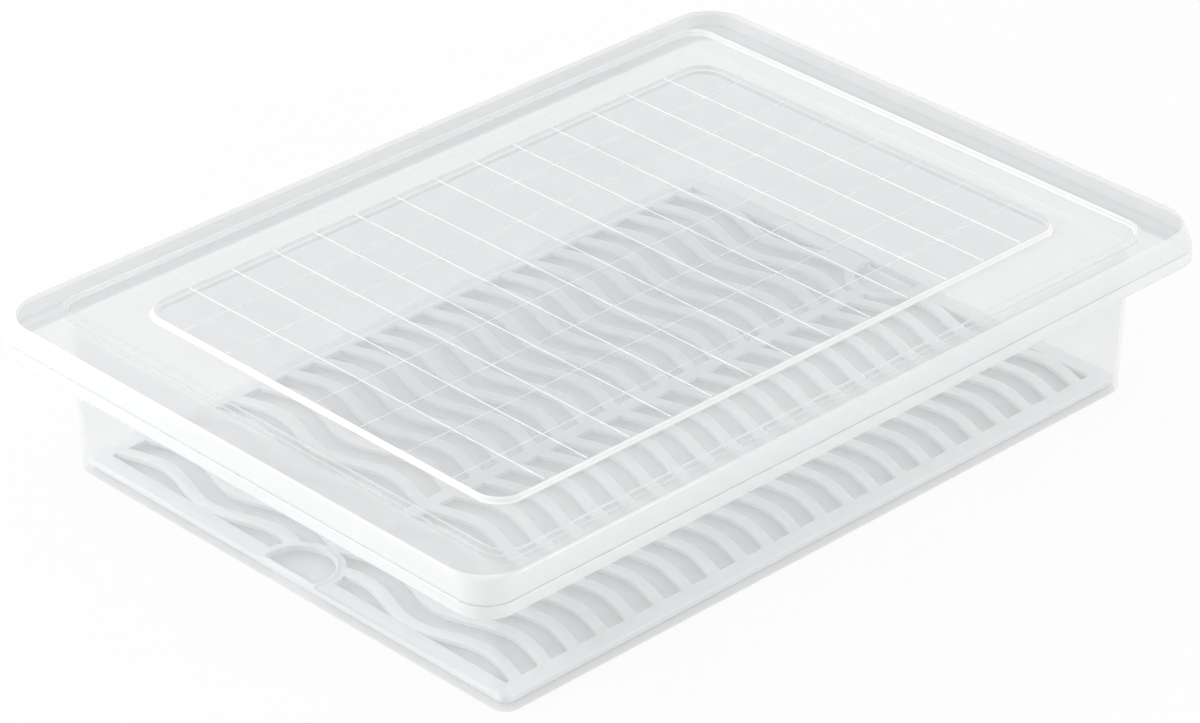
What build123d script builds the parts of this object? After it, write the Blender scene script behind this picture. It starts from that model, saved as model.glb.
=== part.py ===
from build123d import *
from math import ceil, cos, pi, radians, tan
import os

# Shallow fridge container: a tub with a stepped rim, a slotted drain tray and a cap lid.
# Millimetres and degrees. X is the long side, Y the short side and Z is up. The origin is the
# centre of the tub's underside.

# Tub
TUB_LENGTH = 298.0
TUB_WIDTH = 212.0
TUB_HEIGHT = 57.0
TUB_CORNER = 6.0
TUB_WALL = 1.6
TUB_FLOOR = 1.5
TUB_DRAFT = 1.8
HEEL_BEVEL = 0.8
FLOOR_BEVEL = 1.0
MOUTH_BEVEL = 0.8

# Rim of the tub: a shelf that runs out to a step, a shoulder and a hanging lip
FLANGE_LENGTH = 20.2
FLANGE_WIDTH = 12.6
STEP_HEIGHT = 2.6
STEP_CORNER = 12.0
LIP_DEPTH = 4.8
LIP_DRAFT = 2.0
LIP_BEVEL = 0.5
STEP_BEVEL = 0.4

# Lid
LID_WALL = 1.5
LID_HEIGHT = 8.8
LID_CORNER = 12.0
LID_TOP_CORNER = 16.5
LID_DRAFT = 6.5
LID_RADIUS = 1.4
LID_CLEARANCE = 0.4
LID_SEAT_GAP = 0.3

# Top of the lid: an outer rim, a sunk channel and a raised panel
RIM_LENGTH = 18.2
RIM_WIDTH = 10.1
CHANNEL_LENGTH = 18.4
CHANNEL_WIDTH = 22.3
CHANNEL_DEPTH = 1.9
CHANNEL_CORNER = 9.0
PANEL_RISE = 2.1
PANEL_CORNER = 10.0
STEP_DRAFT = 10.0
CREASE_BEVEL = 0.5

# Fine grid of raised lines on the lid's panel
GRID_PITCH_X = 18.75
GRID_PITCH_Y = 21.75
GRID_LINE_WIDTH = 0.9
GRID_LINE_HEIGHT = 0.3

# Drain tray
TRAY_CLEARANCE = 0.6
TRAY_PLATE = 1.6
TRAY_HEIGHT = 3.5
TRAY_SKIRT = 1.2
TRAY_DRAIN_GAP = 0.9
TRAY_BORDER = 6.8
TRAY_RIB = 5.5
TRAY_WEB = 2.0
FOOT_RADIUS = 2.4
FOOT_SIDES = 8
FOOT_SEAT_GAP = 0.3
FOOT_COLUMNS = 4

# Wavy slots of the tray
SLOT_PITCH = 12.8
SLOT_WIDTH = 7.8
WAVE_LENGTH = 58.0
WAVE_SWING = 3.4
WAVE_STEPS = 8
FIRST_CREST = 21.25
SMALLEST_SLOT = 25.0

# Finger holes at both short ends of the tray
FINGER_RADIUS = 12.5
FINGER_INSET = 4.9
FINGER_RING = 3.5
BEAD_WIDTH = 1.2
BEAD_HEIGHT = 0.6

TOLERANCE = 0.01


def spread(height, draft):
    """How far a drafted wall moves sideways over a height."""
    return height * tan(radians(draft))


def inset(plan, gap, gap_width=None):
    """A plan, given as length, width and corner radius, moved in by a gap on every side."""
    length, width, corner = plan
    across = gap if gap_width is None else gap_width
    return length - 2 * gap, width - 2 * across, max(corner - gap, TUB_WALL)


def block(plan, low, high, draft, mode=Mode.ADD):
    """A block with rounded plan corners: the plan is its low end, and draft narrows it upwards."""
    length, width, corner = plan
    with BuildSketch(Plane.XY.offset(low)) as outline:
        RectangleRounded(length, width, corner)
    extrude(outline.sketch, amount=high - low, taper=draft, mode=mode)


def flared_block(low_plan, low, high_plan, high, mode=Mode.ADD):
    """A block with rounded plan corners that has its own plan, and corner radius, at each end."""
    with BuildSketch(Plane.XY.offset(low)) as foot:
        RectangleRounded(*low_plan)
    with BuildSketch(Plane.XY.offset(high)) as head:
        RectangleRounded(*high_plan)
    loft([foot.sketch, head.sketch], ruled=True, mode=mode)


def new_edges_at(height):
    """Edges that the last operation made, lying at one height."""
    return edges(Select.LAST).filter_by_position(Axis.Z, height - TOLERANCE, height + TOLERANCE)


# Heights of the rim and the lid
shoulder = TUB_HEIGHT - STEP_HEIGHT
lip_bottom = shoulder - LIP_DEPTH
skirt_bottom = shoulder + LID_SEAT_GAP
lid_top = skirt_bottom + LID_HEIGHT
channel_floor = lid_top - CHANNEL_DEPTH
panel_top = channel_floor + PANEL_RISE

# Plans of the rim and the lid, each taken where its wall starts
mouth_growth = spread(TUB_HEIGHT, TUB_DRAFT)
tub_plan = (TUB_LENGTH, TUB_WIDTH, TUB_CORNER)
lid_plan = (
    TUB_LENGTH + 2 * (mouth_growth + FLANGE_LENGTH),
    TUB_WIDTH + 2 * (mouth_growth + FLANGE_WIDTH),
    LID_CORNER,
)
lip_plan = inset(lid_plan, -spread(LIP_DEPTH, LIP_DRAFT))
step_plan = inset(lid_plan, LID_WALL + LID_CLEARANCE)[:2] + (STEP_CORNER,)
cavity_plan = inset(tub_plan, TUB_WALL - spread(TUB_FLOOR, TUB_DRAFT))


def skirt_plan(rise, gap):
    """Plan of the lid's skirt at a rise above its lower edge, moved in by a gap."""
    corner = LID_CORNER + (LID_TOP_CORNER - LID_CORNER) * rise / LID_HEIGHT
    return inset(lid_plan, spread(rise, LID_DRAFT) + gap)[:2] + (corner - gap,)


with BuildPart() as tub:
    # The lip and the step as solid blocks, then hollowed from below
    block(lip_plan, lip_bottom, shoulder, LIP_DRAFT)
    chamfer(new_edges_at(shoulder), LIP_BEVEL)
    block(step_plan, shoulder, TUB_HEIGHT, LID_DRAFT)
    chamfer(new_edges_at(TUB_HEIGHT), STEP_BEVEL)
    block(inset(lip_plan, TUB_WALL), lip_bottom, shoulder - TUB_WALL, LIP_DRAFT, Mode.SUBTRACT)
    block(inset(step_plan, TUB_WALL), shoulder - TUB_WALL, TUB_HEIGHT - TUB_WALL, LID_DRAFT, Mode.SUBTRACT)
    # The body, and the space inside it
    block(tub_plan, 0, TUB_HEIGHT - TUB_WALL / 2, -TUB_DRAFT)
    chamfer(new_edges_at(0), HEEL_BEVEL)
    block(cavity_plan, TUB_FLOOR, TUB_HEIGHT, -TUB_DRAFT, Mode.SUBTRACT)
    mouth = new_edges_at(TUB_HEIGHT)
    chamfer(new_edges_at(TUB_FLOOR), FLOOR_BEVEL)
    chamfer(mouth, MOUTH_BEVEL)

# Plans of the lid's top, each taken at the height of the channel's floor
rim_edge = spread(LID_HEIGHT, LID_DRAFT)
channel_run = spread(CHANNEL_DEPTH, STEP_DRAFT)
panel_run = spread(PANEL_RISE, STEP_DRAFT)
channel_mouth = inset(lid_plan, rim_edge + RIM_LENGTH, rim_edge + RIM_WIDTH)[:2] + (CHANNEL_CORNER,)
channel_plan = inset(channel_mouth, channel_run)
panel_plan = inset(channel_mouth, CHANNEL_LENGTH, CHANNEL_WIDTH)[:2] + (PANEL_CORNER,)
panel_foot = inset(panel_plan, -panel_run)

with BuildPart() as lid:
    # The cap: a drafted skirt under a flat top, with corners that are tighter at the skirt's lower edge
    flared_block(skirt_plan(0, 0), skirt_bottom, skirt_plan(LID_HEIGHT, 0), lid_top)
    fillet(new_edges_at(lid_top), LID_RADIUS)
    hollow_plan = skirt_plan(LID_HEIGHT - LID_WALL, LID_WALL)
    flared_block(skirt_plan(0, LID_WALL), skirt_bottom, hollow_plan, lid_top - LID_WALL, Mode.SUBTRACT)
    # The sunk channel: its underside first, then the pan that is cut from above
    block(inset(channel_plan, -LID_WALL), channel_floor - LID_WALL, lid_top - LID_WALL, -STEP_DRAFT)
    block(channel_plan, channel_floor, lid_top, -STEP_DRAFT, Mode.SUBTRACT)
    rim_crease = new_edges_at(lid_top)
    chamfer(new_edges_at(channel_floor) + rim_crease, CREASE_BEVEL)
    # The raised panel, hollow underneath
    block(panel_foot, channel_floor, panel_top, STEP_DRAFT)
    panel_crease = new_edges_at(panel_top)
    chamfer(new_edges_at(channel_floor) + panel_crease, CREASE_BEVEL)
    panel_hollow = inset(panel_foot, LID_WALL)
    block(panel_hollow, channel_floor - LID_WALL, panel_top - LID_WALL, STEP_DRAFT, Mode.SUBTRACT)
    # The grid of raised lines on the panel
    columns = round(panel_plan[0] / GRID_PITCH_X)
    rows = round(panel_plan[1] / GRID_PITCH_Y)
    with BuildSketch(Plane.XY.offset(panel_top)):
        with GridLocations(GRID_PITCH_X, 0, columns - 1, 1):
            Rectangle(GRID_LINE_WIDTH, panel_plan[1])
        with GridLocations(0, GRID_PITCH_Y, 1, rows - 1):
            Rectangle(panel_plan[0], GRID_LINE_WIDTH)
        RectangleRounded(*inset(panel_plan, CREASE_BEVEL), mode=Mode.INTERSECT)
    extrude(amount=GRID_LINE_HEIGHT)

# Heights and plans of the drain tray
tray_top = TUB_FLOOR + TRAY_HEIGHT
plate_bottom = tray_top - TRAY_PLATE
skirt_end = TUB_FLOOR + TRAY_DRAIN_GAP
foot_end = TUB_FLOOR + FOOT_SEAT_GAP
tray_plan = inset(cavity_plan, TRAY_CLEARANCE)
finger_centre = tray_plan[0] / 2 - FINGER_INSET
finger_flat = tray_plan[0] / 2 - TRAY_SKIRT
rib_length = 2 * (finger_centre - FINGER_RADIUS)
foot_pitch_x = rib_length / FOOT_COLUMNS
foot_pitch_y = (tray_plan[1] - TRAY_BORDER) / 2

# The window on one side of the rib that the slots fill, and the wave that they follow
window_length = tray_plan[0] - 2 * TRAY_BORDER
window_width = (tray_plan[1] - TRAY_RIB) / 2 - TRAY_BORDER
window_centre = (TRAY_RIB + window_width) / 2
slot_columns = round(window_length / SLOT_PITCH) + 1
step = WAVE_LENGTH / WAVE_STEPS
wave_steps = ceil(tray_plan[1] / 2 / step)


def wave_side(offset):
    """Points along one side of a slot, outwards from the rib, at even steps of the wave."""
    heights = [step * index for index in range(wave_steps + 1)]
    return [(offset + WAVE_SWING * cos(2 * pi * (y - FIRST_CREST) / WAVE_LENGTH), y) for y in heights]


# One endless slot, whose two sides are the same wave
with BuildSketch() as wave:
    with BuildLine():
        Polyline(wave_side(-SLOT_WIDTH / 2) + wave_side(SLOT_WIDTH / 2)[::-1], close=True)
    make_face()

# The slots on one side of the rib, trimmed by the window and by the rings round the finger holes
with BuildSketch() as trimmed_slots:
    with GridLocations(SLOT_PITCH, 0, slot_columns, 1):
        add(wave.sketch)
    with Locations((0, window_centre)):
        Rectangle(window_length, window_width, mode=Mode.INTERSECT)
    with Locations((-finger_centre, 0), (finger_centre, 0)):
        Circle(FINGER_RADIUS + FINGER_RING, mode=Mode.SUBTRACT)

with BuildPart() as drain_tray:
    # The plate with a skirt under its edge, and a web under its rib
    block(tray_plan, skirt_end, tray_top, 0)
    block(inset(tray_plan, TRAY_SKIRT), skirt_end, plate_bottom, 0, Mode.SUBTRACT)
    with BuildSketch(Plane.XY.offset(skirt_end)):
        Rectangle(rib_length, TRAY_WEB)
    extrude(amount=plate_bottom - skirt_end)
    # Feet under the rib and under both long borders
    with BuildSketch(Plane.XY.offset(foot_end)):
        with GridLocations(foot_pitch_x, foot_pitch_y, FOOT_COLUMNS, 3):
            RegularPolygon(FOOT_RADIUS, FOOT_SIDES)
    extrude(amount=plate_bottom - foot_end)
    # The slots, mirrored to the other side of the rib
    with BuildSketch(Plane.XY.offset(tray_top)):
        for slot in trimmed_slots.sketch.faces():
            if slot.area > SMALLEST_SLOT:
                add(slot)
        mirror(about=Plane.XZ)
    extrude(amount=-TRAY_PLATE, mode=Mode.SUBTRACT)
    # A bead round each finger hole, then the holes, cut flat beside the tray's edge
    with BuildSketch(Plane.XY.offset(tray_top)):
        with Locations((-finger_centre, 0), (finger_centre, 0)):
            Circle(FINGER_RADIUS + BEAD_WIDTH)
        Rectangle(tray_plan[0], tray_plan[1], mode=Mode.INTERSECT)
    extrude(amount=BEAD_HEIGHT)
    with BuildSketch(Plane.XY.offset(skirt_end)):
        with Locations((-finger_centre, 0), (finger_centre, 0)):
            Circle(FINGER_RADIUS)
        Rectangle(2 * finger_flat, tray_plan[1], mode=Mode.INTERSECT)
    extrude(amount=TRAY_HEIGHT, mode=Mode.SUBTRACT)

os.makedirs("parts", exist_ok=True)
tub.part.label = "tub"
export_step(tub.part, "parts/tub.step")
lid.part.label = "lid"
export_step(lid.part, "parts/lid.step")
drain_tray.part.label = "drain_tray"
export_step(drain_tray.part, "parts/drain_tray.step")
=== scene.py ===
"""Looks of a shallow fridge container: a tub with a stepped rim, a slotted drain tray and a cap lid.

Lengths are written in millimetres and become metres where a mesh is made.
"""

import logging
from dataclasses import dataclass, replace
from enum import Enum, IntEnum
from math import cos, pi, radians, sin, tan
from typing import Any, Sequence

import bmesh
import bpy
from mathutils import Matrix, Vector


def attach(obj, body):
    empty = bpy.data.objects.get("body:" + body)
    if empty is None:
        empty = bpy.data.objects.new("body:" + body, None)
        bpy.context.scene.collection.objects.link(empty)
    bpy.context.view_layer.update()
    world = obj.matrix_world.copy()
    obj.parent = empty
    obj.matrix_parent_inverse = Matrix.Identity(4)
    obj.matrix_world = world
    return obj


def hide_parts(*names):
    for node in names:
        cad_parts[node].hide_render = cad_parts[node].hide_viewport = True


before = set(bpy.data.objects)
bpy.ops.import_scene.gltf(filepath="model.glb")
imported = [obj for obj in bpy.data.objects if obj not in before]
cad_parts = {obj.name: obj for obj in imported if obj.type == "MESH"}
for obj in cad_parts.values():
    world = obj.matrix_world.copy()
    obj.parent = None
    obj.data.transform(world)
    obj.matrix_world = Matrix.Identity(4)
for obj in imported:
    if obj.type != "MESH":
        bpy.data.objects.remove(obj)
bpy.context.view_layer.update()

LOG = logging.getLogger("fridge_container")

Finish = bpy.types.Material

MM = 0.001
PHOTO_WIDTH = 1200

# Facets of a plan corner and of a rounded edge, and where a flat starts beside them
CORNER_STEPS = 12
EDGE_STEPS = 4
FLAT_MARGIN = 1.0
SUPPORT_SHARE = 0.35
SMALLEST_CORNER = 0.2

# Points of a cut mesh that lie closer together than this are one point
WELD = 0.001
# A direction counts as upright, or a face as looking up, from these shares of its length along Z
UPRIGHT = 0.99
FACING_UP = 0.9
# Height of the lid's skirt above the tub's shoulder
LID_GAP = 0.3

# Colour of the surround, and the places of the colour sockets on a Mix node
WHITE = "FFFFFF"
MIX_LOW, MIX_HIGH, MIX_RESULT = 6, 7, 2

# Kind of socket that each kind of size takes in a Geometry Nodes tree
SOCKETS = {
    float: "NodeSocketFloat",
    int: "NodeSocketInt",
    tuple: "NodeSocketVector",
    Finish: "NodeSocketMaterial",
}


def linear(code: str) -> tuple[float, float, float, float]:
    """Turns an sRGB hex colour to linear light.

    Args:
        code: Six hex digits.

    Returns:
        The linear red, green and blue, and 1 as alpha.
    """
    shares = [int(code[at : at + 2], 16) / 255 for at in (0, 2, 4)]
    # The two branches and their numbers are those of the sRGB standard
    red, green, blue = [c / 12.92 if c <= 0.04045 else ((c + 0.055) / 1.055) ** 2.4 for c in shares]
    return red, green, blue, 1.0


def add(tree: Any, kind: str, settings: dict[str, Any] | None = None, inputs: dict[Any, Any] | None = None) -> Any:
    """Adds a node to a tree, with its settings and its links.

    Args:
        tree: The node tree.
        kind: The node's type.
        settings: Properties to set, by name.
        inputs: Numbers, sockets or lists of sockets for the inputs, by name or place.

    Returns:
        The new node.
    """
    node = tree.nodes.new(kind)
    for name, value in (settings or {}).items():
        setattr(node, name, value)
    for key, value in (inputs or {}).items():
        sources = value if isinstance(value, list) else [value]
        if isinstance(sources[0], bpy.types.NodeSocket):
            for source in sources:
                tree.links.new(source, node.inputs[key])
        else:
            node.inputs[key].default_value = value
    return node


def blank(owner: bpy.types.Material | bpy.types.World) -> bpy.types.NodeTree:
    """Empties the node tree of a material or a world.

    Args:
        owner: The material or the world.

    Returns:
        Its tree, with no nodes in it.
    """
    owner.use_nodes = True
    owner.node_tree.nodes.clear()
    return owner.node_tree


def linked(name: str, data: bpy.types.ID) -> bpy.types.Object:
    """Puts a new object in the scene.

    Args:
        name: The object's name.
        data: Its mesh, lamp or camera.

    Returns:
        The object, at the origin.
    """
    thing = bpy.data.objects.new(name, data)
    bpy.context.scene.collection.objects.link(thing)
    return thing


@dataclass(frozen=True)
class Station:
    """One level of a shell: a rectangle with rounded plan corners, at a height.

    The rounding is the radius of the edge that the shell has there.
    """

    half_length: float
    half_width: float
    corner: float
    height: float
    rounding: float = 0.0

    def moved(self, outwards: float, upwards: float, flare: float = 0.0) -> "Station":
        """Returns the station moved outwards on every side and up, its corner wider by a flare, unrounded."""
        corner = max(self.corner + outwards + flare, SMALLEST_CORNER)
        return Station(self.half_length + outwards, self.half_width + outwards, corner, self.height + upwards)

    def drafted(self, rise: float, draft: float, rounding: float = 0.0) -> "Station":
        """Returns the end of a wall that starts here and leans in by a draft angle as it rises."""
        return replace(self.moved(-abs(rise) * tan(radians(draft)), rise), rounding=rounding)

    def reach(self, place: Vector) -> float:
        """Returns how far a place lies outside the station's straight sides, below 0 inside them."""
        return max(abs(place.x) - self.half_length, abs(place.y) - self.half_width)

    def ring(self) -> list[Vector]:
        """Works out the outline.

        Returns:
            Its points in metres, anticlockwise from above.
        """
        points = []
        centre_x, centre_y = self.half_length - self.corner, self.half_width - self.corner
        for sign_x, sign_y, start in ((1, 1, 0.0), (-1, 1, 0.5 * pi), (-1, -1, pi), (1, -1, 1.5 * pi)):
            centre = Vector((sign_x * centre_x, sign_y * centre_y, self.height))
            arc = [start + 0.5 * pi * step / CORNER_STEPS for step in range(CORNER_STEPS + 1)]
            arc_points = [centre + self.corner * Vector((cos(a), sin(a), 0)) for a in arc]
            before = FLAT_MARGIN * Vector((sin(start), -cos(start), 0))
            after = FLAT_MARGIN * Vector((-cos(start), -sin(start), 0))
            points += [arc_points[0] + before, *arc_points, arc_points[-1] + after]
        return [point * MM for point in points]


def rounded(stations: Sequence[Station]) -> list[Station]:
    """Puts an arc at each station that has a rounding, with a support ring on the flats beside it.

    Args:
        stations: The shell's profile, in order.

    Returns:
        The profile with its arcs.
    """
    profile = []
    for at, station in enumerate(stations):
        if not station.rounding:
            profile.append(station)
            continue
        here = Vector((station.half_length, station.height))
        sides, flares = [], []
        for other in (stations[at - 1], stations[at + 1]):
            run = Vector((other.half_length, other.height)) - here
            sides.append(run.normalized())
            flares.append((other.corner - station.corner - run.x) / run.length)
        half = sides[0].angle(sides[1]) / 2
        reach = station.rounding / tan(half)
        middle = (sides[0] + sides[1]).normalized() * station.rounding / sin(half)
        start, end = sides[0] * reach - middle, sides[1] * reach - middle
        turn = start.angle(end)
        support = reach + SUPPORT_SHARE * station.rounding
        profile.append(station.moved(*(sides[0] * support), flares[0] * support))
        for step in range(EDGE_STEPS + 1):
            share = step / EDGE_STEPS
            spoke = (start * sin((1 - share) * turn) + end * sin(share * turn)) / sin(turn)
            flare = reach * ((1 - share) * flares[0] + share * flares[1])
            profile.append(station.moved(*(middle + spoke), flare))
        profile.append(station.moved(*(sides[1] * support), flares[1] * support))
    return profile


def lofted(stations: Sequence[Station]) -> bpy.types.Mesh:
    """Skins a profile's outlines into a closed shell, with a flat fan of triangles across each end.

    Args:
        stations: The profile, from the middle of the underside outwards and back over the top.

    Returns:
        A smooth mesh in metres.
    """
    mesh = bpy.data.meshes.new("shell")
    bm = bmesh.new()
    rings = [[bm.verts.new(point) for point in station.ring()] for station in rounded(stations)]
    for low, high in zip(rings, rings[1:]):
        for at in range(len(low)):
            bm.faces.new((low[at - 1], low[at], high[at], high[at - 1]))
    for ring, turn in ((rings[0], -1), (rings[-1], 1)):
        centre = bm.verts.new((0, 0, ring[0].co.z))
        for at in range(len(ring)):
            bm.faces.new((ring[at - 1], ring[at], centre)[::turn])
    for face in bm.faces:
        face.smooth = True
    bm.to_mesh(mesh)
    bm.free()
    return mesh


def creased(mesh: bpy.types.Mesh, limit: float) -> None:
    """Closes the hairline seams of a cut mesh and marks its sharp edges, so that shading breaks only there.

    Args:
        mesh: The mesh to mark.
        limit: The angle in degrees from which an edge is sharp.
    """
    bm = bmesh.new()
    bm.from_mesh(mesh)
    bmesh.ops.remove_doubles(bm, verts=bm.verts, dist=WELD * MM)
    bmesh.ops.delete(bm, geom=[edge for edge in bm.edges if edge.is_wire], context="EDGES")
    for face in bm.faces:
        face.smooth = True
    for edge in bm.edges:
        edge.smooth = edge.calc_face_angle(pi) < radians(limit)
    bm.to_mesh(mesh)
    bm.free()


def bevelled(
    bm: bmesh.types.BMesh, edges: list[bmesh.types.BMEdge], size: float, segments: int, clamped: bool
) -> None:
    """Rounds some edges of a mesh.

    Args:
        bm: The mesh.
        edges: The edges to round.
        size: How far from the edge the rounding starts.
        segments: The number of facets of the rounding.
        clamped: Whether the rounding stops where it would meet another one.
    """
    bmesh.ops.bevel(
        bm,
        geom=edges,
        offset=size * MM,
        offset_type="OFFSET",
        affect="EDGES",
        segments=segments,
        profile=0.5,
        clamp_overlap=clamped,
    )


def started(name: str, sizes: dict[str, Any]) -> bpy.types.NodeTree:
    """Starts a Geometry Nodes tree with a named input for each size.

    Args:
        name: The tree's name.
        sizes: The sizes that it will be given, by name.

    Returns:
        The tree, with its sockets and no nodes.
    """
    tree = bpy.data.node_groups.new(name, "GeometryNodeTree")
    tree.interface.new_socket("Geometry", in_out="INPUT", socket_type="NodeSocketGeometry")
    for label, value in sizes.items():
        tree.interface.new_socket(label, in_out="INPUT", socket_type=SOCKETS[type(value)])
    tree.interface.new_socket("Geometry", in_out="OUTPUT", socket_type="NodeSocketGeometry")
    return tree


def evaluated(mesh: bpy.types.Mesh, tree: bpy.types.NodeTree, sizes: dict[str, Any]) -> bpy.types.Mesh:
    """Runs a Geometry Nodes tree on a mesh.

    Args:
        mesh: The mesh that goes in.
        tree: The tree.
        sizes: Values for the tree's named inputs, lengths in millimetres.

    Returns:
        The plain mesh that comes out.
    """
    holder = linked("holder", mesh)
    modifier = holder.modifiers.new(tree.name, "NODES")
    modifier.node_group = tree
    for item in tree.interface.items_tree:
        value = sizes.get(item.name)
        if isinstance(value, float):
            value *= MM
        elif isinstance(value, tuple):
            value = [part * MM for part in value]
        if value is not None:
            modifier[item.identifier] = value
    bpy.context.view_layer.update()
    seen = holder.evaluated_get(bpy.context.evaluated_depsgraph_get())
    result = bpy.data.meshes.new_from_object(seen)
    bpy.data.objects.remove(holder)
    bpy.data.node_groups.remove(tree)
    return result


def placed(name: str, mesh: bpy.types.Mesh, node: str, body: str) -> bpy.types.Object:
    """Puts a finished mesh in the scene in place of a CAD node.

    Args:
        name: The piece's name.
        mesh: Its mesh, in place.
        node: The CAD node that it stands for.
        body: The body that it rides on.

    Returns:
        The piece.
    """
    mesh.name = name
    piece = linked(name, mesh)
    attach(piece, body)
    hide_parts(node)
    LOG.info("%s: %d faces, rides on %s", name, len(mesh.polygons), body)
    return piece


class Surface(Enum):
    """How the mould left a surface: its roughness, and the depth of its grain in millimetres."""

    POLISHED = (0.12, 0.004)
    SATIN = (0.32, 0.012)
    GRAINED = (0.14, 0.02)


@dataclass(frozen=True)
class Polypropylene:
    """Natural, unpigmented polypropylene, injection moulded.

    It looks milky and soft-edged, and what is behind it shows through paler.
    """

    name: str
    surface: Surface
    pale: str
    deep: str
    alpha: float
    haze: float
    crown_depth: float = 0.0
    cell_length: float = 18.75
    cell_width: float = 21.75
    flow_size: float = 38.0
    ripple_size: float = 9.0
    ripple_depth: float = 0.02
    grain_size: float = 0.9
    grain_low: float = 0.3
    grain_high: float = 0.7
    rough_spread: float = 0.06
    ior: float = 1.49

    def noise(self, tree: bpy.types.NodeTree, place: Any, size: float, detail: float) -> Any:
        """Returns a pattern whose features are a size in millimetres."""
        inputs = {"Vector": place, "Scale": 1 / (size * MM), "Detail": detail}
        return add(tree, "ShaderNodeTexNoise", {}, inputs).outputs[0]

    def crown(self, tree: bpy.types.NodeTree, place: Any) -> Any:
        """Adds the low crown that each cell of the panel's grid has.

        Args:
            tree: The material's tree.
            place: The socket that gives the place on the panel.

        Returns:
            A height that rises from 0 at the grid's lines to 1 in the middle of each cell.
        """
        axes = add(tree, "ShaderNodeSeparateXYZ", {}, {0: place}).outputs
        crowns = []
        for axis, pitch in ((0, self.cell_length), (1, self.cell_width)):
            signal = axes[axis]
            for operation, operand in (("DIVIDE", pitch * MM), ("FRACT", 0.0), ("SUBTRACT", 0.5)):
                signal = add(tree, "ShaderNodeMath", {"operation": operation}, {0: signal, 1: operand}).outputs[0]
            # From -0.5 to 0.5 across the cell, so 1 - 4 x squared is an arch from 0 to 1
            square = add(tree, "ShaderNodeMath", {"operation": "MULTIPLY"}, {0: signal, 1: signal})
            arch = {0: square.outputs[0], 1: -4.0, 2: 1.0}
            crowns.append(add(tree, "ShaderNodeMath", {"operation": "MULTIPLY_ADD"}, arch).outputs[0])
        return add(tree, "ShaderNodeMath", {"operation": "MULTIPLY"}, {0: crowns[0], 1: crowns[1]}).outputs[0]

    def build(self) -> Finish:
        """Builds the material, with its patterns sized in millimetres on Object coordinates.

        Returns:
            The material.
        """
        roughness, grain_depth = self.surface.value
        material = bpy.data.materials.new(self.name)
        tree = blank(material)
        place = add(tree, "ShaderNodeTexCoord").outputs["Object"]
        # The melt runs outwards from the middle of the mould, so the milkiness drifts slowly
        flow = self.noise(tree, place, self.flow_size, detail=3.0)
        colours = {0: flow, MIX_LOW: linear(self.deep), MIX_HIGH: linear(self.pale)}
        colour = add(tree, "ShaderNodeMix", {"data_type": "RGBA"}, colours)
        # Slight sink and ripple of a thin moulded wall
        ripple = self.noise(tree, place, self.ripple_size, detail=1.0)
        wavy = add(
            tree, "ShaderNodeBump", {}, {"Strength": 1.0, "Distance": self.ripple_depth * MM, "Height": ripple}
        )
        if self.crown_depth:
            # Each cell of the panel's grid sinks at its lines and bends what is seen through it
            domed = {"Strength": 1.0, "Distance": self.crown_depth * MM, "Height": self.crown(tree, place)}
            wavy = add(tree, "ShaderNodeBump", {}, {**domed, "Normal": wavy.outputs[0]})
        # Grain of the mould's surface, drawn coarser than its real tenth of a millimetre so that it shows
        grain = self.noise(tree, place, self.grain_size, detail=2.0)
        rough = add(
            tree,
            "ShaderNodeMapRange",
            {},
            {
                "Value": grain,
                "From Min": self.grain_low,
                "From Max": self.grain_high,
                "To Min": roughness - self.rough_spread,
                "To Max": roughness + self.rough_spread,
            },
        )
        fine = add(
            tree,
            "ShaderNodeBump",
            {},
            {"Strength": 1.0, "Distance": grain_depth * MM, "Height": grain, "Normal": wavy.outputs[0]},
        )
        shader = add(
            tree,
            "ShaderNodeBsdfPrincipled",
            {},
            {
                "Base Color": colour.outputs[MIX_RESULT],
                "Roughness": rough.outputs[0],
                "Normal": fine.outputs[0],
                "Alpha": self.alpha,
                "Transmission Weight": self.haze,
                "IOR": self.ior,
            },
        )
        add(tree, "ShaderNodeOutputMaterial", {}, {"Surface": shader.outputs[0]})
        return material


class TubPart(IntEnum):
    """What a face of the tub belongs to, in the order of the tub's material slots."""

    WALLS = 0
    FLOOR = 1
    SHELF = 2
    LIP = 3


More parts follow.
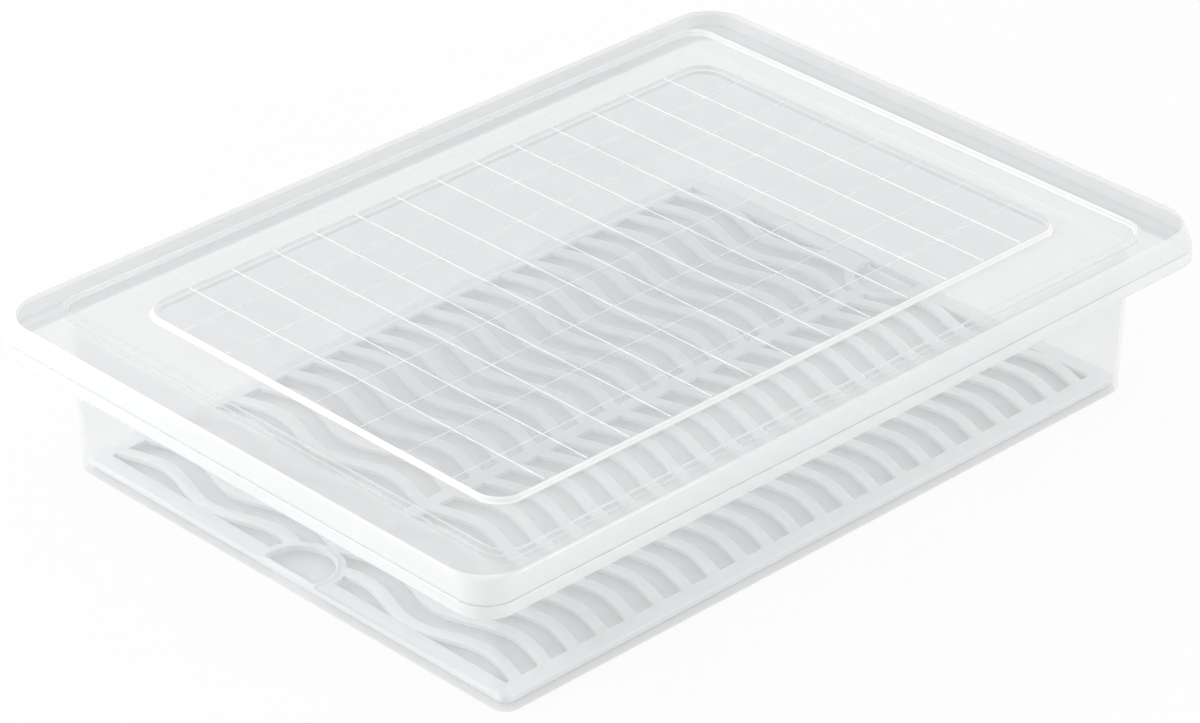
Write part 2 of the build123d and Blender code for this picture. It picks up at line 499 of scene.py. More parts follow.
@dataclass
class Tub:
    """The tub: body, shelf, step, shoulder and hanging lip, moulded in one."""

    length: float = 298.0
    width: float = 212.0
    height: float = 57.0
    corner: float = 6.0
    wall: float = 1.6
    floor: float = 1.5
    draft: float = 1.8
    flange_length: float = 20.2
    flange_width: float = 12.6
    rim_corner: float = 12.0
    step_height: float = 2.6
    step_inset: float = 1.9
    step_corner: float = 12.0
    step_draft: float = 6.5
    lip_depth: float = 4.8
    lip_draft: float = 2.0
    heel_round: float = 1.0
    floor_round: float = 1.5
    mouth_round: float = 1.2
    shelf_round: float = 0.7
    step_foot_round: float = 0.35
    step_round: float = 0.6
    rim_round: float = 0.7
    lip_round: float = 0.5
    lip_inner_round: float = 0.4
    under_round: float = 0.5
    fan_inset: float = 9.0
    floor_slack: float = 0.1
    lip_start: float = 0.2

    def growth(self) -> float:
        """Returns how far the walls lean out over their whole height."""
        return self.height * tan(radians(self.draft))

    def base(self) -> Station:
        """Returns the underside's edge, from which the walls lean out."""
        return Station(self.length / 2, self.width / 2, self.corner, 0.0, self.heel_round)

    def rim(self) -> Station:
        """Returns the shoulder's edge, where the hanging lip starts and the lid's skirt ends."""
        return Station(
            self.length / 2 + self.growth() + self.flange_length,
            self.width / 2 + self.growth() + self.flange_width,
            self.rim_corner,
            self.height - self.step_height,
            self.rim_round,
        )

    def profile(self) -> list[Station]:
        """Works out the shell's profile.

        Returns:
            Its stations, from the underside's middle round to the floor's middle.
        """
        base, rim = self.base(), self.rim()
        lip = rim.drafted(-self.lip_depth, -self.lip_draft, self.lip_round)
        step = replace(rim.moved(-self.step_inset, 0), corner=self.step_corner, rounding=self.step_foot_round)
        under_step = replace(step.moved(-self.wall, -self.wall), rounding=self.under_round)
        under_lip = replace(lip.moved(-self.wall, 0), rounding=self.lip_inner_round)
        cavity = replace(base.drafted(self.floor, -self.draft).moved(-self.wall, 0), rounding=self.floor_round)
        return [
            base.moved(-self.fan_inset, 0),
            base,
            base.drafted(self.height - self.wall, -self.draft, self.shelf_round),
            under_step.drafted(self.step_height, self.step_draft, self.under_round),
            under_step,
            under_lip.drafted(self.lip_depth - self.wall, self.lip_draft, self.under_round),
            under_lip,
            lip,
            rim,
            step,
            step.drafted(self.step_height, self.step_draft, self.step_round),
            cavity.drafted(self.height - self.floor, -self.draft, self.mouth_round),
            cavity,
            cavity.moved(-self.fan_inset, 0),
        ]

    def make(self, walls: Finish, floor: Finish, shelf: Finish, lip: Finish) -> bpy.types.Object:
        """Builds and dresses the tub.

        Args:
            walls: The finish of the walls.
            floor: The floor's copy of the plastic, denser and painted darker as the shade under the tray, above and
                below.
            shelf: The copy on the shelf, the step and the shoulder, painted lighter as light that lifts the shade
                under the lid's rim.
            lip: The hanging lip's copy, the lid's denser, whiter bends copy, painted light against the shade of the
                lid's skirt.

        Returns:
            The tub.
        """
        mesh = lofted(self.profile())
        for finish in (walls, floor, shelf, lip):
            mesh.materials.append(finish)
        base, rim = self.base(), self.rim()
        for face in mesh.polygons:
            place = face.center / MM
            hanging = rim.reach(place) > -2 * self.wall and place.z < rim.height - self.lip_start
            # Floor faces take the copy that is painted darker, as shade under the tray
            if place.z < self.floor + self.floor_slack and abs(face.normal.z) > UPRIGHT:
                face.material_index = TubPart.FLOOR
            # Shelf faces take the copy painted lighter, and lip faces the whiter bends copy: both are painted light
            # against the lid's shade
            elif base.reach(place) > self.growth():
                face.material_index = TubPart.LIP if hanging else TubPart.SHELF
        return placed("tub_shell", mesh, "tub", "tub")


class LidPart(IntEnum):
    """What a face of the lid belongs to, in the order of the lid's material slots."""

    FLATS = 0
    CELLS = 1
    BENDS = 2
    STEP = 3


@dataclass
class Lid:
    """The lid: a drafted skirt, a flat rim, a sunk channel and a raised panel with a grid of fine lines."""

    skirt: Station
    wall: float = 1.5
    height: float = 8.8
    draft: float = 6.5
    top_corner: float = 16.5
    edge_round: float = 1.4
    rim_length: float = 18.2
    rim_width: float = 10.1
    channel_length: float = 18.4
    channel_width: float = 22.3
    channel_depth: float = 1.9
    channel_corner: float = 9.0
    panel_rise: float = 2.1
    panel_corner: float = 10.0
    step_draft: float = 10.0
    line_pitch_x: float = 18.75
    line_pitch_y: float = 21.75
    column_width: float = 0.6
    column_height: float = 0.3
    row_width: float = 0.42
    row_height: float = 0.16
    line_sink: float = 0.06
    line_end: float = 0.9
    bar_sides: int = 16
    bend_round: float = 0.7
    under_round: float = 0.5
    skirt_round: float = 0.35
    fan_inset: float = 8.0
    crease: float = 40.0
    level_slack: float = 0.02
    flat_slope: float = 0.97
    step_reach: float = 0.5

    def side(self, rise: float, gap: float, rounding: float) -> Station:
        """Works out one level of the skirt, whose corners open upwards.

        Args:
            rise: The height above the skirt's lower edge.
            gap: How far the level is moved in.
            rounding: The radius of the edge there.

        Returns:
            The station.
        """
        flare = (self.top_corner - self.skirt.corner) * rise / self.height
        corner = self.skirt.corner + flare - gap
        level = self.skirt.drafted(rise, self.draft).moved(-gap, 0)
        return replace(level, corner=corner, rounding=rounding)

    def panel(self) -> Station:
        """Returns the top edge of the raised panel."""
        edge = self.side(self.height, 0, 0)
        return Station(
            edge.half_length - self.rim_length - self.channel_length,
            edge.half_width - self.rim_width - self.channel_width,
            self.panel_corner,
            edge.height - self.channel_depth + self.panel_rise,
            self.bend_round,
        )

    def profile(self) -> list[Station]:
        """Works out the shell's profile.

        Returns:
            Its stations, from the panel's underside out, round the skirt and back on top.
        """
        edge = self.side(self.height, 0, self.edge_round)
        mouth = Station(
            edge.half_length - self.rim_length,
            edge.half_width - self.rim_width,
            self.channel_corner,
            edge.height,
            self.bend_round,
        )
        channel = mouth.drafted(-self.channel_depth, self.step_draft, self.bend_round)
        panel = self.panel()
        foot = panel.drafted(-self.panel_rise, -self.step_draft, self.bend_round)
        rim_under = self.side(self.height - self.wall, self.wall, self.under_round)
        channel_under = replace(channel.moved(self.wall, -self.wall), rounding=self.bend_round)
        foot_under = replace(foot.moved(-self.wall, -self.wall), rounding=self.bend_round)
        panel_under = foot_under.drafted(self.panel_rise, self.step_draft, self.bend_round)
        return [
            panel_under.moved(-self.fan_inset, 0),
            panel_under,
            foot_under,
            channel_under,
            channel_under.drafted(self.channel_depth, -self.step_draft, self.bend_round),
            rim_under,
            self.side(0, self.wall, self.skirt_round),
            self.side(0, 0, self.skirt_round),
            edge,
            mouth,
            channel,
            foot,
            panel,
            panel.moved(-self.fan_inset, 0),
        ]

    def line_tree(self, sizes: dict[str, Any]) -> bpy.types.NodeTree:
        """Builds the tree that raises the grid's lines on the panel.

        Args:
            sizes: The sizes that the tree will be given, by name.

        Returns:
            The tree.
        """
        tree = started("panel_lines", sizes)
        given = add(tree, "NodeGroupInput").outputs
        whole = given["Geometry"]
        for name, turn in (("Column", (pi / 2, 0.0, 0.0)), ("Row", (0.0, pi / 2, 0.0))):
            # A bar one metre across, scaled to a low half-round line and repeated at the grid's pitch
            bar = add(
                tree,
                "GeometryNodeMeshCylinder",
                {},
                {"Vertices": self.bar_sides, "Radius": 0.5, "Depth": given[f"{name} Length"]},
            )
            laid = add(
                tree,
                "GeometryNodeTransform",
                {},
                {"Geometry": bar.outputs[0], "Rotation": turn, "Scale": given[f"{name} Section"]},
            )
            row = add(
                tree,
                "GeometryNodeMeshLine",
                {"mode": "OFFSET"},
                {
                    "Count": given[f"{name} Count"],
                    "Start Location": given[f"{name} Start"],
                    "Offset": given[f"{name} Pitch"],
                },
            )
            bars = add(
                tree, "GeometryNodeInstanceOnPoints", {}, {"Points": row.outputs[0], "Instance": laid.outputs[0]}
            )
            real = add(tree, "GeometryNodeRealizeInstances", {}, {0: bars.outputs[0]})
            whole = add(
                tree,
                "GeometryNodeMeshBoolean",
                {"operation": "UNION", "solver": "EXACT"},
                {"Mesh 2": [whole, real.outputs[0]]},
            ).outputs[0]
        real = add(tree, "GeometryNodeRealizeInstances", {}, {0: whole})
        dressed = add(
            tree, "GeometryNodeSetMaterial", {}, {"Geometry": real.outputs[0], "Material": given["Finish"]}
        )
        add(tree, "NodeGroupOutput", {}, {0: dressed.outputs[0]})
        return tree

    def sizes(self, finish: Finish) -> dict[str, Any]:
        """Works out the sizes that the lines' tree takes.

        Args:
            finish: The finish that the tree puts on the whole lid.

        Returns:
            The sizes, by name.
        """
        panel = self.panel()
        length, width = 2 * panel.half_length, 2 * panel.half_width
        columns, rows = round(length / self.line_pitch_x) - 1, round(width / self.line_pitch_y) - 1
        # A bar's middle lies a little below the panel's top, so that its sides meet the panel at an angle
        level = panel.height - self.line_sink
        column_tall, row_tall = 2 * (self.column_height + self.line_sink), 2 * (self.row_height + self.line_sink)
        return {
            "Column Length": width - 2 * self.line_end,
            "Column Section": (self.column_width, column_tall, 1 / MM),
            "Column Start": (-0.5 * (columns - 1) * self.line_pitch_x, 0.0, level),
            "Column Pitch": (self.line_pitch_x, 0.0, 0.0),
            "Column Count": columns,
            "Row Length": length - 2 * self.line_end,
            "Row Section": (row_tall, self.row_width, 1 / MM),
            "Row Start": (0.0, -0.5 * (rows - 1) * self.line_pitch_y, level),
            "Row Pitch": (0.0, self.line_pitch_y, 0.0),
            "Row Count": rows,
            "Finish": finish,
        }

    def make(self, flats: Finish, cells: Finish, bends: Finish, step: Finish) -> bpy.types.Object:
        """Builds and dresses the lid.

        Args:
            flats: The finish of the rim's and the channel's flats.
            cells: The grained copy on the panel's cells, painted darker than the flats as shade, so that the grid's
                lines stand out lit.
            bends: The denser, whiter copy for the skirt, the bends and the grid's lines: denser plastic at the bends,
                and a painted highlight on the edges and lines.
            step: The near-white, nearly opaque copy on the small step that the panel's edge makes, a painted
                highlight along the panel's outline.

        Returns:
            The lid.
        """
        sizes = self.sizes(flats)
        mesh = evaluated(lofted(self.profile()), self.line_tree(sizes), sizes)
        creased(mesh, self.crease)
        for finish in (cells, bends, step):
            mesh.materials.append(finish)
        panel = self.panel()
        for face in mesh.polygons:
            place, slope = face.center / MM, face.normal.z
            rise = place.z - panel.height
            # Faces above the panel's top are the grid's lines; they and the upright faces take the whiter bends copy,
            # a painted highlight
            if rise > self.level_slack:
                face.material_index = LidPart.BENDS
            elif abs(slope) < self.flat_slope:
                # The panel's outer step takes the near-white copy, a painted highlight line round the panel
                on_step = slope > 0 and panel.reach(place) < self.step_reach
                face.material_index = LidPart.STEP if on_step else LidPart.BENDS
            # Panel cells, above and below, take the darker grained copy, painted shade
            elif min(abs(rise), abs(rise + self.wall)) < self.level_slack:
                face.material_index = LidPart.CELLS
        return placed("lid_shell", mesh, "lid", "lid")


@dataclass
class DrainTray:
    """The drain tray: a thin plate with a skirt, wavy slots, feet and a finger hole at each short end."""

    length: float = 293.694
    width: float = 207.694
    corner: float = 3.847
    top: float = 5.0
    plate: float = 1.6
    skirt: float = 1.2
    skirt_end: float = 2.4
    foot_end: float = 1.8
    border: float = 6.8
    rib: float = 5.5
    web: float = 2.0
    foot_radius: float = 2.4
    foot_columns: int = 4
    slot_pitch: float = 12.8
    slot_width: float = 7.8
    slot_corner: float = 0.9
    wave_length: float = 58.0
    wave_swing: float = 3.4
    first_crest: float = 21.25
    smallest_slot: float = 25.0
    finger_radius: float = 12.5
    finger_inset: float = 4.9
    finger_ring: float = 3.5
    bead_width: float = 1.2
    bead_height: float = 0.6
    edge_round: float = 0.35
    web_gap: float = 1.0
    top_round: float = 0.5
    skirt_round: float = 0.3
    fan_inset: float = 3.0
    cut_over: float = 2.0
    root: float = 0.5
    ring_under: float = 1.5
    ring_over: float = 1.0
    hole_under: float = 1.0
    bead_root: float = 0.8
    bead_gap: float = 0.4
    slot_steps: int = 40
    flat_angle: float = 0.3
    corner_angle: float = 40.0
    corner_segments: int = 3
    shortest_corner: float = 1.0
    edge_angle: float = 50.0
    edge_segments: int = 2
    under_slack: float = 0.02
    crease: float = 32.0

    def profile(self) -> list[Station]:
        """Works out the plate's profile before the slots are cut.

        Returns:
            Its stations, from the underside's middle round to the top's middle.
        """
        edge = Station(self.length / 2, self.width / 2, self.corner, self.top, self.top_round)
        low = replace(edge.moved(0, self.skirt_end - self.top), rounding=self.skirt_round)
        inner = replace(low.moved(-self.skirt, 0), rounding=self.skirt_round)
        under = replace(inner.moved(0, self.top - self.plate - self.skirt_end), rounding=self.skirt_round)
        return [under.moved(-self.fan_inset, 0), under, inner, low, edge, edge.moved(-self.fan_inset, 0)]

    def upright_sizes(self) -> dict[str, Any]:
        """Works out the sizes of the upright round forms: the rings, holes, beads and feet.

        Returns:
            Radius, depth and place of each, and the slab that cuts it flat near the tray's edge. A slab that
            reaches past the tray leaves its form whole.
        """
        over, under = self.top + self.cut_over, self.top - self.plate
        ring, bead = self.finger_radius + self.finger_ring, self.finger_radius + self.bead_width
        hole_flat, bead_flat = self.length / 2 - self.skirt, self.length / 2 - self.bead_gap
        slab_height = 4 * over
        sizes = {}
        for name, radius, low, high, reach in (
            ("Ring", ring, under - self.ring_under, over + self.ring_over, self.length),
            ("Hole", self.finger_radius, self.skirt_end - self.hole_under, over, hole_flat),
            ("Bead", bead, self.top - self.bead_root, self.top + self.bead_height, bead_flat),
            ("Foot", self.foot_radius, self.foot_end, under + self.root, self.length),
        ):
            sizes[f"{name} Radius"] = radius
            sizes[f"{name} Depth"] = high - low
            sizes[f"{name} Place"] = (0.0, 0.0, (low + high) / 2)
            sizes[f"{name} Slab"] = (2 * reach, self.width, slab_height)
        return sizes

    def sizes(self, finish: Finish) -> dict[str, Any]:
        """Works out the sizes that the tray's tree takes.

        Args:
            finish: The finish that the tree puts on the whole tray.

        Returns:
            The sizes, by name.
        """
        over, under = self.top + self.cut_over, self.top - self.plate
        below, web_top = under - self.root, under + self.root
        finger_centre = self.length / 2 - self.finger_inset
        window_width = (self.width - self.rib) / 2 - self.border
        window_length = self.length - 2 * self.border
        rib_length = 2 * (finger_centre - self.finger_radius)
        columns = round(window_length / self.slot_pitch) + 1
        return {
            "Slot Size": (self.slot_width, window_width, over - below),
            "Slot Place": (0.0, 0.0, (over + below) / 2),
            "Slot Columns": columns,
            "Slot Row Length": (columns - 1) * self.slot_pitch,
            "Slot Row Gap": self.rib + window_width,
            "Window Size": (window_length, self.width, over - below + self.cut_over),
            "Wave Length": self.wave_length,
            "Wave Swing": self.wave_swing,
            "First Crest": self.first_crest,
            "Smallest Slot": self.smallest_slot * MM,
            "Web Size": (rib_length - 2 * self.web_gap, self.web, web_top - self.skirt_end),
            "Web Place": (0.0, 0.0, (web_top + self.skirt_end) / 2),
            "Foot Columns": self.foot_columns,
            "Foot Row Length": (self.foot_columns - 1) * rib_length / self.foot_columns,
            "Foot Row Width": self.width - self.border,
            "Finger Start": (-finger_centre, 0.0, 0.0),
            "Finger End": (finger_centre, 0.0, 0.0),
            "Finish": finish,
            **self.upright_sizes(),
        }

    def slot_tree(self, sizes: dict[str, Any]) -> bpy.types.NodeTree:
        """Builds the tree that adds the tray's web, feet and beads, and cuts its slots and finger holes.

        Args:
            sizes: The sizes that the tree will be given, by name.

        Returns:
            The tree.
        """
        tree = started("tray_slots", sizes)
        given = add(tree, "NodeGroupInput").outputs

        # Where the two finger holes and the three rows of feet stand
        ends = add(
            tree,
            "GeometryNodeMeshLine",
            {"mode": "END_POINTS"},
            {"Count": 2, "Start Location": given["Finger Start"], "Offset": given["Finger End"]},
        )
        feet = add(
            tree,
            "GeometryNodeMeshGrid",
            {},
            {
                "Size X": given["Foot Row Length"],
                "Size Y": given["Foot Row Width"],
                "Vertices X": given["Foot Columns"],
                "Vertices Y": 3,
            },
        )
        # Upright round forms, cut flat where they come near the tray's edge
        solids = {}
        for name, sides, places in (("Ring", 96, ends), ("Hole", 72, ends), ("Bead", 72, ends), ("Foot", 24, feet)):
            pillar = add(
                tree,
                "GeometryNodeMeshCylinder",
                {},
                {"Vertices": sides, "Radius": given[f"{name} Radius"], "Depth": given[f"{name} Depth"]},
            )
            raised = add(
                tree,
                "GeometryNodeTransform",
                {},
                {"Geometry": pillar.outputs[0], "Translation": given[f"{name} Place"]},
            )
            copies = add(
                tree, "GeometryNodeInstanceOnPoints", {}, {"Points": places.outputs[0], "Instance": raised.outputs[0]}
            )
            real = add(tree, "GeometryNodeRealizeInstances", {}, {0: copies.outputs[0]})
            slab = add(tree, "GeometryNodeMeshCube", {}, {"Size": given[f"{name} Slab"]})
            solids[name] = add(
                tree,
                "GeometryNodeMeshBoolean",
                {"operation": "INTERSECT", "solver": "EXACT"},
                {"Mesh 2": [real.outputs[0], slab.outputs[0]]},
            ).outputs[0]

        # Slots: a long box at every place of two rows, bent by one cosine of the distance from the rib
        box = add(
            tree,
            "GeometryNodeMeshCube",
            {},
            {"Size": given["Slot Size"], "Vertices X": 2, "Vertices Y": self.slot_steps, "Vertices Z": 2},
        )
        lifted = add(
            tree, "GeometryNodeTransform", {}, {"Geometry": box.outputs[0], "Translation": given["Slot Place"]}
        )
        places = add(
            tree,
            "GeometryNodeMeshGrid",
            {},
            {
                "Size X": given["Slot Row Length"],
                "Size Y": given["Slot Row Gap"],
                "Vertices X": given["Slot Columns"],
                "Vertices Y": 2,
            },
        )
        copies = add(
            tree, "GeometryNodeInstanceOnPoints", {}, {"Points": places.outputs[0], "Instance": lifted.outputs[0]}
        )
        straight = add(tree, "GeometryNodeRealizeInstances", {}, {0: copies.outputs[0]})
        position = add(tree, "GeometryNodeInputPosition")
        signal = add(tree, "ShaderNodeSeparateXYZ", {}, {0: position.outputs[0]}).outputs[1]
        for operation, operand in (
            ("ABSOLUTE", 0.0),
            ("SUBTRACT", given["First Crest"]),
            ("DIVIDE", given["Wave Length"]),
            ("MULTIPLY", 2 * pi),
            ("COSINE", 0.0),
            ("MULTIPLY", given["Wave Swing"]),
        ):
            signal = add(tree, "ShaderNodeMath", {"operation": operation}, {0: signal, 1: operand}).outputs[0]
        sideways = add(tree, "ShaderNodeCombineXYZ", {}, {0: signal})
        wavy = add(
            tree, "GeometryNodeSetPosition", {}, {"Geometry": straight.outputs[0], "Offset": sideways.outputs[0]}
        )
        window = add(tree, "GeometryNodeMeshCube", {}, {"Size": given["Window Size"]})
        framed = add(
            tree, "GeometryNodeTransform", {}, {"Geometry": window.outputs[0], "Translation": given["Slot Place"]}
        )
        within = add(
            tree,
            "GeometryNodeMeshBoolean",
            {"operation": "INTERSECT", "solver": "EXACT"},
            {"Mesh 2": [wavy.outputs[0], framed.outputs[0]], "Self Intersection": True},
        )
        trimmed = add(
            tree,
            "GeometryNodeMeshBoolean",
            {"operation": "DIFFERENCE", "solver": "EXACT"},
            {"Mesh 1": within.outputs[0], "Mesh 2": [solids["Ring"]]},
        )
        # Slivers that the trimming leaves are too small to mould, so they go
        normal = add(tree, "GeometryNodeInputNormal")
        upwards = add(tree, "ShaderNodeSeparateXYZ", {}, {0: normal.outputs[0]})
        top_face = add(
            tree,
            "FunctionNodeCompare",
            {"data_type": "FLOAT", "operation": "GREATER_THAN"},
            {0: upwards.outputs[2], 1: FACING_UP},
        )
        face_area = add(tree, "GeometryNodeInputMeshFaceArea")
        top_area = add(
            tree, "ShaderNodeMath", {"operation": "MULTIPLY"}, {0: face_area.outputs[0], 1: top_face.outputs[0]}
        )
        island = add(tree, "GeometryNodeInputMeshIsland")
        total = add(
            tree,
            "GeometryNodeAccumulateField",
            {"data_type": "FLOAT", "domain": "FACE"},
            {0: top_area.outputs[0], "Group ID": island.outputs["Island Index"]},
        )
        sliver = add(
            tree,
            "FunctionNodeCompare",
            {"data_type": "FLOAT", "operation": "LESS_THAN"},
            {0: total.outputs["Total"], 1: given["Smallest Slot"]},
        )
        slots = add(
            tree,
            "GeometryNodeDeleteGeometry",
            {"domain": "FACE"},
            {"Geometry": trimmed.outputs[0], "Selection": sliver.outputs[0]},
        )

        # Web under the rib, joined to the plate with the feet and beads before anything is cut
        web = add(tree, "GeometryNodeMeshCube", {}, {"Size": given["Web Size"]})
        hung = add(
            tree, "GeometryNodeTransform", {}, {"Geometry": web.outputs[0], "Translation": given["Web Place"]}
        )
        whole = add(
            tree,
            "GeometryNodeMeshBoolean",
            {"operation": "UNION", "solver": "EXACT"},
            {
                "Mesh 2": [given["Geometry"], hung.outputs[0], solids["Foot"], solids["Bead"]],
                "Self Intersection": True,
            },
        )
        cut = add(
            tree,
            "GeometryNodeMeshBoolean",
            {"operation": "DIFFERENCE", "solver": "EXACT"},
            {"Mesh 1": whole.outputs[0], "Mesh 2": [slots.outputs[0], solids["Hole"]]},
        )
        real = add(tree, "GeometryNodeRealizeInstances", {}, {0: cut.outputs[0]})
        dressed = add(
            tree, "GeometryNodeSetMaterial", {}, {"Geometry": real.outputs[0], "Material": given["Finish"]}
        )
        add(tree, "NodeGroupOutput", {}, {0: dressed.outputs[0]})
        return tree

    def softened(self, mesh: bpy.types.Mesh) -> None:
        """Rounds the slots' plan corners, then the sharp edges.

        Edges that lie in the underside stay sharp, because the roundings of slots, feet and web would run into
        each other there.

        Args:
            mesh: The tray's mesh, which is changed.
        """
        bm = bmesh.new()
        bm.from_mesh(mesh)
        bmesh.ops.remove_doubles(bm, verts=bm.verts, dist=WELD * MM)
        bmesh.ops.dissolve_limit(bm, angle_limit=radians(self.flat_angle), verts=bm.verts, edges=bm.edges)
        upright = []
        for edge in bm.edges:
            run = (edge.verts[1].co - edge.verts[0].co).normalized()
            if abs(run.z) > UPRIGHT and edge.is_manifold and edge.calc_face_angle() > radians(self.corner_angle):
                if edge.calc_length() > self.shortest_corner * MM:
                    upright.append(edge)
        bevelled(bm, upright, self.slot_corner, self.corner_segments, clamped=True)
        under = (self.top - self.plate) * MM
        sharp = []
        for edge in bm.edges:
            off_underside = max(abs(end.co.z - under) for end in edge.verts) > self.under_slack * MM
            if off_underside and edge.is_manifold and edge.calc_face_angle() > radians(self.edge_angle):
                sharp.append(edge)
        bevelled(bm, sharp, self.edge_round, self.edge_segments, clamped=False)
        bm.to_mesh(mesh)
        bm.free()

    def make(self, finish: Finish) -> bpy.types.Object:
        """Builds and dresses the tray.

        Args:
            finish: The tray's copy of the plastic, opaque and whiter than the tub's walls, painted light on the bars
                that the lid shades.

        Returns:
            The tray.
        """
        sizes = self.sizes(finish)
        plain = lofted(self.profile())
        plain.materials.append(finish)
        mesh = evaluated(plain, self.slot_tree(sizes), sizes)
        self.softened(mesh)
        creased(mesh, self.crease)
        return placed("drain_plate", mesh, "drain_tray", "drain_tray")


@dataclass(frozen=True)
class Softbox:
    """A large soft lamp: where it stands, its size in metres, its power in watts and what it looks at."""

    name: str
    position: tuple[float, float, float]
    size: float
    power: float
    target: tuple[float, float, float] = (0.0, 0.0, 0.03)

    def make(self) -> None:
        """Puts the lamp in the scene."""
        lamp = bpy.data.lights.new(self.name, "AREA")
        lamp.size = self.size
        lamp.energy = self.power
        holder = linked(self.name, lamp)
        holder.location = self.position
        aim = Vector(self.target) - Vector(self.position)
        holder.rotation_mode = "QUATERNION"
        holder.rotation_quaternion = aim.to_track_quat("-Z", "Y")


@dataclass(frozen=True)
class Camera:
    """The camera that stands where the photograph was taken from; only the clip distances are in metres."""

    azimuth: float = -44.503
    elevation: float = 29.872
    roll: float = 0.311
    distance: float = 1800.392
    slide: float = -2.583
    lift: float = 22.593
    focal_pixels: float = 5226.465
    sensor_width: float = 36.0
    clip_start: float = 0.05
    clip_end: float = 50.0

    def make(self) -> None:
        """Puts the camera in the scene and makes it the scene's own."""
        turn, rise, roll = radians(self.azimuth), radians(self.elevation), radians(self.roll)
        back = Vector((sin(turn) * cos(rise), -cos(turn) * cos(rise), sin(rise)))
        level = (-back).cross(Vector((0, 0, 1))).normalized()
        upright = level.cross(-back)
        right = level * cos(roll) + upright * sin(roll)
        up = upright * cos(roll) - level * sin(roll)
        place = (back * self.distance + right * self.slide + up * self.lift) * MM
        data = bpy.data.cameras.new("camera")
        data.sensor_width = self.sensor_width
        data.lens = self.focal_pixels * self.sensor_width / PHOTO_WIDTH
        data.clip_start, data.clip_end = self.clip_start, self.clip_end
        camera = linked("camera", data)
        camera.matrix_world = Matrix.Translation(place) @ Matrix((right, up, back)).transposed().to_4x4()
        bpy.context.scene.camera = camera


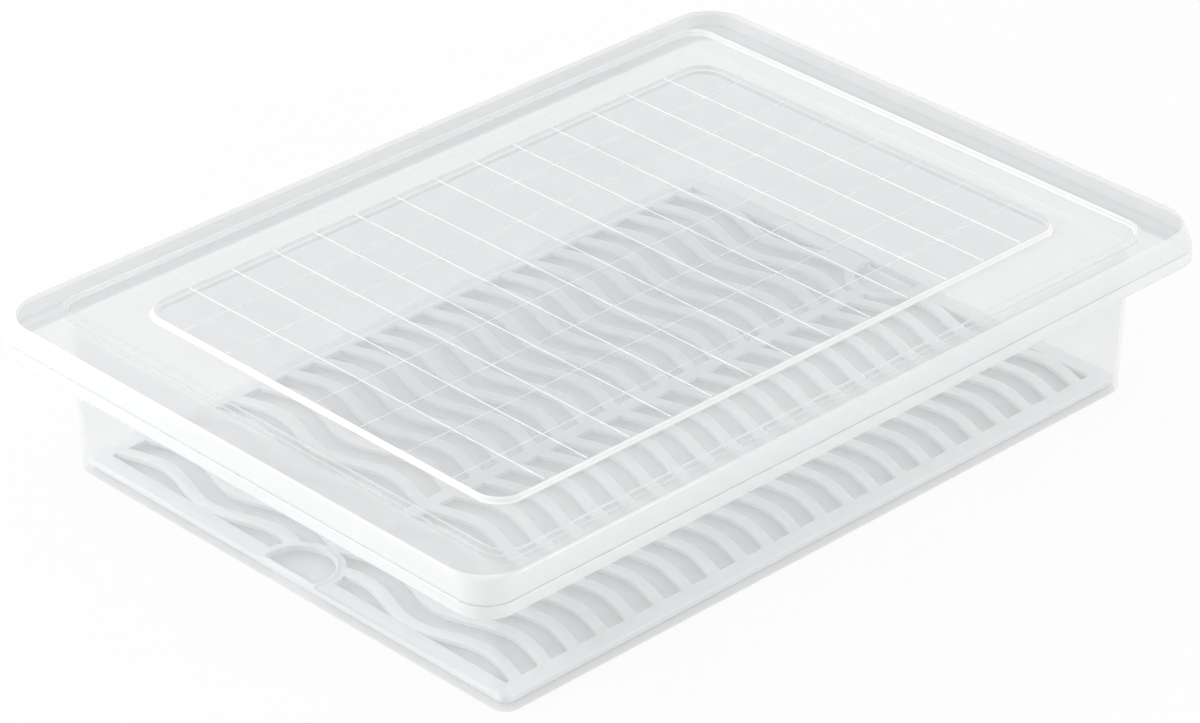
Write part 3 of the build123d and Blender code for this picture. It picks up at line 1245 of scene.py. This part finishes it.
@dataclass
class Studio:
    """A pale floor, a white surround and soft lamps; the floor's half length is in metres, its drop in mm."""

    world_strength: float = 0.88
    floor_half: float = 4.0
    floor_drop: float = 0.2
    floor_colour: str = "E6E7E8"
    floor_white: float = 0.92

    def seen(self, tree: bpy.types.NodeTree) -> Any:
        """Tells the rays that show the surround from those that only light the object.

        Args:
            tree: The tree of the world or of the floor's material.

        Returns:
            A socket that is 1 where a ray comes from the camera, off gloss or through clear plastic.
        """
        path = add(tree, "ShaderNodeLightPath").outputs
        mirror = add(
            tree,
            "ShaderNodeMath",
            {"operation": "MAXIMUM"},
            {0: path["Is Camera Ray"], 1: path["Is Glossy Ray"]},
        )
        return add(
            tree,
            "ShaderNodeMath",
            {"operation": "MAXIMUM"},
            {0: mirror.outputs[0], 1: path["Is Transmission Ray"]},
        ).outputs[0]

    def surround(self) -> None:
        """Makes the world: white to look at, and an even soft light."""
        world = bpy.data.worlds.new("surround")
        tree = blank(world)
        light = add(tree, "ShaderNodeBackground", {}, {"Color": linear(WHITE), "Strength": self.world_strength})
        white = add(tree, "ShaderNodeBackground", {}, {"Color": linear(WHITE), "Strength": 1.0})
        mixed = add(
            tree,
            "ShaderNodeMixShader",
            {},
            {0: self.seen(tree), 1: light.outputs[0], 2: white.outputs[0]},
        )
        add(tree, "ShaderNodeOutputWorld", {}, {"Surface": mixed.outputs[0]})
        bpy.context.scene.world = world

    def floor(self) -> None:
        """Makes the floor: pale matt board that runs out into white and keeps the object's shadow."""
        material = bpy.data.materials.new("pale_board")
        tree = blank(material)
        board = add(tree, "ShaderNodeBsdfDiffuse", {}, {"Color": linear(self.floor_colour)})
        white = add(tree, "ShaderNodeEmission", {}, {"Color": linear(WHITE), "Strength": 1.0})
        share = add(tree, "ShaderNodeMath", {"operation": "MULTIPLY"}, {0: self.seen(tree), 1: self.floor_white})
        mixed = add(
            tree,
            "ShaderNodeMixShader",
            {},
            {0: share.outputs[0], 1: board.outputs[0], 2: white.outputs[0]},
        )
        add(tree, "ShaderNodeOutputMaterial", {}, {"Surface": mixed.outputs[0]})
        mesh = bpy.data.meshes.new("floor")
        half, low = self.floor_half, -self.floor_drop * MM
        corners = [(-half, -half, low), (half, -half, low), (half, half, low), (-half, half, low)]
        mesh.from_pydata(corners, [], [(0, 1, 2, 3)])
        mesh.materials.append(material)
        floor = linked("floor", mesh)

    def make(self) -> None:
        """Builds the whole studio."""
        self.surround()
        self.floor()
        for lamp in (
            Softbox("left_softbox", (-1.25, 1.05, 0.85), 0.45, 15.0),
            Softbox("right_softbox", (0.8, -1.5, 0.5), 0.4, 5.5),
        ):
            lamp.make()
        Camera().make()
        bpy.context.scene.view_settings.view_transform = "Standard"


def main() -> None:
    """Builds the studio and the three pieces, and logs each piece's face count."""
    logging.basicConfig(level=logging.INFO, format="%(message)s")
    Studio().make()
    walls = Polypropylene("moulded_pp_walls", Surface.POLISHED, "F0F1F2", "E8EAEB", 0.2, 0.25).build()
    # Tub floor: denser and darker, painted shade for the space under the tray
    floor = Polypropylene("moulded_pp_floor_painted_shade", Surface.POLISHED, "ECEEF0", "E4E6E8", 0.45, 0.0).build()
    # Tub shelf, step and shoulder: a lighter copy, painted light where the lid's rim shades them
    shelf = Polypropylene("moulded_pp_shelf_painted_light", Surface.POLISHED, "FAFAFB", "F5F6F7", 0.3, 0.0).build()
    flats = Polypropylene("moulded_pp_lid", Surface.POLISHED, "F1F2F3", "E9EBEC", 0.24, 0.0).build()
    # Skirt, bends, grid lines and tub lip: denser plastic at the bends, and whiter as a painted highlight on edges
    # and lines and painted light on the lip
    bends = Polypropylene("moulded_pp_bends_painted_highlight", Surface.POLISHED, "F8F9F9", "F2F3F4", 0.6, 0.0).build()
    # Panel's step: near white and nearly opaque, a painted highlight along the panel's outline
    step = Polypropylene("moulded_pp_step_painted_highlight", Surface.POLISHED, "FCFCFC", "F9FAFA", 0.8, 0.0).build()
    # Panel cells: real grain and crowns, and painted darker than the flats as shade so that the lines stand out lit
    cells = Polypropylene("grained_pp_panel_painted_shade", Surface.GRAINED, "E0E2E4", "D8DBDD", 0.34, 0.2, 0.25).build()
    tub = Tub()
    tub.make(walls, floor, shelf, bends)
    # Tray: opaque and whiter than the tub's walls, painted light on the bars under the lid
    DrainTray().make(Polypropylene("satin_pp_tray_painted_light", Surface.SATIN, "F9FAFA", "F5F6F7", 1.0, 0.0).build())
    Lid(tub.rim().moved(0, LID_GAP)).make(flats, cells, bends, step)


if __name__ == "__main__":
    main()
